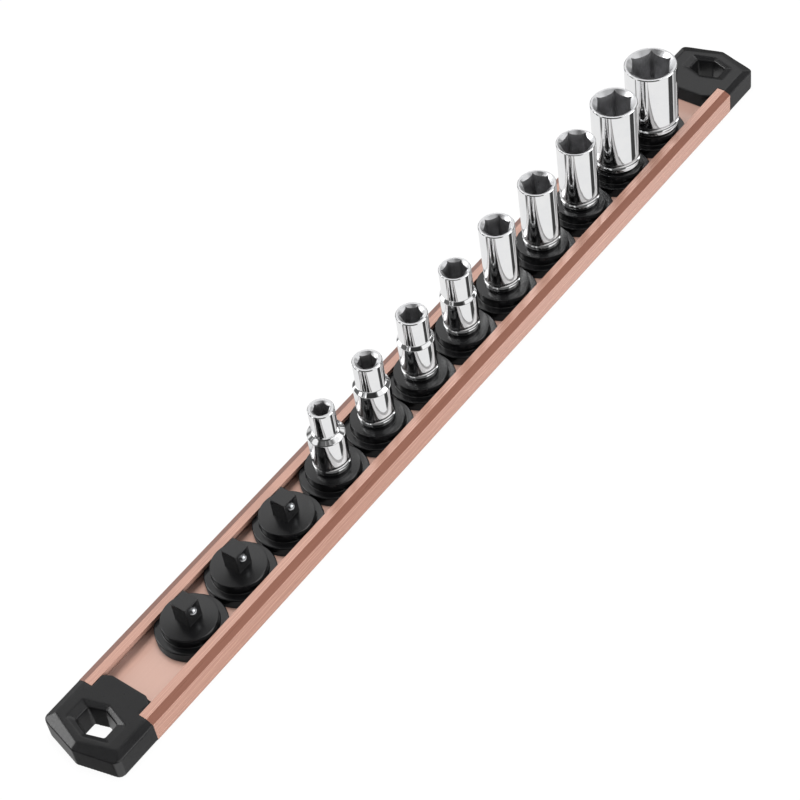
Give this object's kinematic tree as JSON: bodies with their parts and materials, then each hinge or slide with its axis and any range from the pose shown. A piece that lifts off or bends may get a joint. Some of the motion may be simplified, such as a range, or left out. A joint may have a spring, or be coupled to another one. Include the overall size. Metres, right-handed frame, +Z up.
{
  "type": "socket rail",
  "caption": "Aluminium channel with two end caps, sliding clips with square ball-detent posts, and chrome hexagon sockets that lift off them.",
  "frame": {"origin": "middle of the rail's length and width, on the plane of its underside", "axes": "+X along the rail to the end with the largest socket, +Y across it, away from the detent balls, +Z up out of the channel"},
  "size_m": [0.3478, 0.0286, 0.0353],
  "materials": {
    "anodised_aluminium": "copper-coloured anodising over fine lengthwise brushing, satin",
    "cap_plastic": "black moulded nylon, fine grain, satin",
    "clip_plastic": "black moulded nylon, smooth satin",
    "zinc_steel": "bright zinc plate",
    "ball_steel": "hardened and polished ball",
    "spring_steel": "bare spring wire, drawn",
    "socket_chrome": "mirror-polished chrome plate"
  },
  "bodies": {
    "rail": {"rail": "anodised_aluminium", "end_cap_near": "cap_plastic", "end_cap_far": "cap_plastic", "cap_screw_near": "zinc_steel", "cap_screw_far": "zinc_steel"},
    "clip_01": {"clip_01": "clip_plastic", "detent_spring_01": "spring_steel"},
    "clip_02": {"clip_02": "clip_plastic", "detent_spring_02": "spring_steel"},
    "clip_03": {"clip_03": "clip_plastic", "detent_spring_03": "spring_steel"},
    "clip_04": {"clip_04": "clip_plastic", "detent_spring_04": "spring_steel"},
    "clip_05": {"clip_05": "clip_plastic", "detent_spring_05": "spring_steel"},
    "clip_06": {"clip_06": "clip_plastic", "detent_spring_06": "spring_steel"},
    "clip_07": {"clip_07": "clip_plastic", "detent_spring_07": "spring_steel"},
    "clip_08": {"clip_08": "clip_plastic", "detent_spring_08": "spring_steel"},
    "clip_09": {"clip_09": "clip_plastic", "detent_spring_09": "spring_steel"},
    "clip_10": {"clip_10": "clip_plastic", "detent_spring_10": "spring_steel"},
    "clip_11": {"clip_11": "clip_plastic", "detent_spring_11": "spring_steel"},
    "clip_12": {"clip_12": "clip_plastic", "detent_spring_12": "spring_steel"},
    "ball_01": {"detent_ball_01": "ball_steel"},
    "ball_02": {"detent_ball_02": "ball_steel"},
    "ball_03": {"detent_ball_03": "ball_steel"},
    "ball_04": {"detent_ball_04": "ball_steel"},
    "ball_05": {"detent_ball_05": "ball_steel"},
    "ball_06": {"detent_ball_06": "ball_steel"},
    "ball_07": {"detent_ball_07": "ball_steel"},
    "ball_08": {"detent_ball_08": "ball_steel"},
    "ball_09": {"detent_ball_09": "ball_steel"},
    "ball_10": {"detent_ball_10": "ball_steel"},
    "ball_11": {"detent_ball_11": "ball_steel"},
    "ball_12": {"detent_ball_12": "ball_steel"},
    "socket_01": {"socket_01": "socket_chrome"},
    "socket_02": {"socket_02": "socket_chrome"},
    "socket_03": {"socket_03": "socket_chrome"},
    "socket_04": {"socket_04": "socket_chrome"},
    "socket_05": {"socket_05": "socket_chrome"},
    "socket_06": {"socket_06": "socket_chrome"},
    "socket_07": {"socket_07": "socket_chrome"},
    "socket_08": {"socket_08": "socket_chrome"},
    "socket_09": {"socket_09": "socket_chrome"}
  },
  "joints": [
    {"name": "clip_slide_01", "type": "slide", "parent": "rail", "child": "clip_01", "axis": [1, 0, 0], "range_m": [-0.0154, 0]},
    {"name": "clip_slide_02", "type": "slide", "parent": "rail", "child": "clip_02", "axis": [1, 0, 0], "range_m": [-0.0154, 0]},
    {"name": "clip_slide_03", "type": "slide", "parent": "rail", "child": "clip_03", "axis": [1, 0, 0], "range_m": [-0.0154, 0]},
    {"name": "clip_slide_04", "type": "slide", "parent": "rail", "child": "clip_04", "axis": [1, 0, 0], "range_m": [-0.0154, 0]},
    {"name": "clip_slide_05", "type": "slide", "parent": "rail", "child": "clip_05", "axis": [1, 0, 0], "range_m": [-0.0154, 0]},
    {"name": "clip_slide_06", "type": "slide", "parent": "rail", "child": "clip_06", "axis": [1, 0, 0], "range_m": [-0.0154, 0]},
    {"name": "clip_slide_07", "type": "slide", "parent": "rail", "child": "clip_07", "axis": [1, 0, 0], "range_m": [0, 0.0101]},
    {"name": "clip_slide_08", "type": "slide", "parent": "rail", "child": "clip_08", "axis": [1, 0, 0], "range_m": [0, 0.0101]},
    {"name": "clip_slide_09", "type": "slide", "parent": "rail", "child": "clip_09", "axis": [1, 0, 0], "range_m": [0, 0.0101]},
    {"name": "clip_slide_10", "type": "slide", "parent": "rail", "child": "clip_10", "axis": [1, 0, 0], "range_m": [0, 0.0101]},
    {"name": "clip_slide_11", "type": "slide", "parent": "rail", "child": "clip_11", "axis": [1, 0, 0], "range_m": [0, 0.0101]},
    {"name": "clip_slide_12", "type": "slide", "parent": "rail", "child": "clip_12", "axis": [1, 0, 0], "range_m": [0, 0.0101]},
    {"name": "ball_press_01", "type": "slide", "parent": "clip_01", "child": "ball_01", "axis": [0, 1, 0], "range_m": [0, 0.0006], "stiffness_N_per_m": 500, "springref_m": -0.0005, "deforming": ["detent_spring_01"]},
    {"name": "ball_press_02", "type": "slide", "parent": "clip_02", "child": "ball_02", "axis": [0, 1, 0], "range_m": [0, 0.0006], "stiffness_N_per_m": 500, "springref_m": -0.0005, "deforming": ["detent_spring_02"]},
    {"name": "ball_press_03", "type": "slide", "parent": "clip_03", "child": "ball_03", "axis": [0, 1, 0], "range_m": [0, 0.0006], "stiffness_N_per_m": 500, "springref_m": -0.0005, "deforming": ["detent_spring_03"]},
    {"name": "ball_press_04", "type": "slide", "parent": "clip_04", "child": "ball_04", "axis": [0, 1, 0], "range_m": [0, 0.00025], "stiffness_N_per_m": 500, "springref_m": -0.0009, "deforming": ["detent_spring_04"]},
    {"name": "ball_press_05", "type": "slide", "parent": "clip_05", "child": "ball_05", "axis": [0, 1, 0], "range_m": [0, 0.00025], "stiffness_N_per_m": 500, "springref_m": -0.0009, "deforming": ["detent_spring_05"]},
    {"name": "ball_press_06", "type": "slide", "parent": "clip_06", "child": "ball_06", "axis": [0, 1, 0], "range_m": [0, 0.00025], "stiffness_N_per_m": 500, "springref_m": -0.0009, "deforming": ["detent_spring_06"]},
    {"name": "ball_press_07", "type": "slide", "parent": "clip_07", "child": "ball_07", "axis": [0, 1, 0], "range_m": [0, 0.00025], "stiffness_N_per_m": 500, "springref_m": -0.0009, "deforming": ["detent_spring_07"]},
    {"name": "ball_press_08", "type": "slide", "parent": "clip_08", "child": "ball_08", "axis": [0, 1, 0], "range_m": [0, 0.00025], "stiffness_N_per_m": 500, "springref_m": -0.0009, "deforming": ["detent_spring_08"]},
    {"name": "ball_press_09", "type": "slide", "parent": "clip_09", "child": "ball_09", "axis": [0, 1, 0], "range_m": [0, 0.00025], "stiffness_N_per_m": 500, "springref_m": -0.0009, "deforming": ["detent_spring_09"]},
    {"name": "ball_press_10", "type": "slide", "parent": "clip_10", "child": "ball_10", "axis": [0, 1, 0], "range_m": [0, 0.00025], "stiffness_N_per_m": 500, "springref_m": -0.0009, "deforming": ["detent_spring_10"]},
    {"name": "ball_press_11", "type": "slide", "parent": "clip_11", "child": "ball_11", "axis": [0, 1, 0], "range_m": [0, 0.00025], "stiffness_N_per_m": 500, "springref_m": -0.0009, "deforming": ["detent_spring_11"]},
    {"name": "ball_press_12", "type": "slide", "parent": "clip_12", "child": "ball_12", "axis": [0, 1, 0], "range_m": [0, 0.00025], "stiffness_N_per_m": 500, "springref_m": -0.0009, "deforming": ["detent_spring_12"]},
    {"name": "socket_lift_01", "type": "slide", "parent": "clip_04", "child": "socket_01", "axis": [0, 0, 1], "range_m": [0, 0.03]},
    {"name": "socket_lift_02", "type": "slide", "parent": "clip_05", "child": "socket_02", "axis": [0, 0, 1], "range_m": [0, 0.03]},
    {"name": "socket_lift_03", "type": "slide", "parent": "clip_06", "child": "socket_03", "axis": [0, 0, 1], "range_m": [0, 0.03]},
    {"name": "socket_lift_04", "type": "slide", "parent": "clip_07", "child": "socket_04", "axis": [0, 0, 1], "range_m": [0, 0.03]},
    {"name": "socket_lift_05", "type": "slide", "parent": "clip_08", "child": "socket_05", "axis": [0, 0, 1], "range_m": [0, 0.03]},
    {"name": "socket_lift_06", "type": "slide", "parent": "clip_09", "child": "socket_06", "axis": [0, 0, 1], "range_m": [0, 0.03]},
    {"name": "socket_lift_07", "type": "slide", "parent": "clip_10", "child": "socket_07", "axis": [0, 0, 1], "range_m": [0, 0.03]},
    {"name": "socket_lift_08", "type": "slide", "parent": "clip_11", "child": "socket_08", "axis": [0, 0, 1], "range_m": [0, 0.03]},
    {"name": "socket_lift_09", "type": "slide", "parent": "clip_12", "child": "socket_09", "axis": [0, 0, 1], "range_m": [0, 0.03]}
  ],
  "couplings": [
    {"joint": "clip_slide_02", "follows": "clip_slide_01", "ratio": 1},
    {"joint": "clip_slide_03", "follows": "clip_slide_01", "ratio": 1},
    {"joint": "clip_slide_04", "follows": "clip_slide_01", "ratio": 1},
    {"joint": "clip_slide_05", "follows": "clip_slide_01", "ratio": 1},
    {"joint": "clip_slide_06", "follows": "clip_slide_01", "ratio": 1},
    {"joint": "clip_slide_07", "follows": "clip_slide_12", "ratio": 1},
    {"joint": "clip_slide_08", "follows": "clip_slide_12", "ratio": 1},
    {"joint": "clip_slide_09", "follows": "clip_slide_12", "ratio": 1},
    {"joint": "clip_slide_10", "follows": "clip_slide_12", "ratio": 1},
    {"joint": "clip_slide_11", "follows": "clip_slide_12", "ratio": 1}
  ]
}
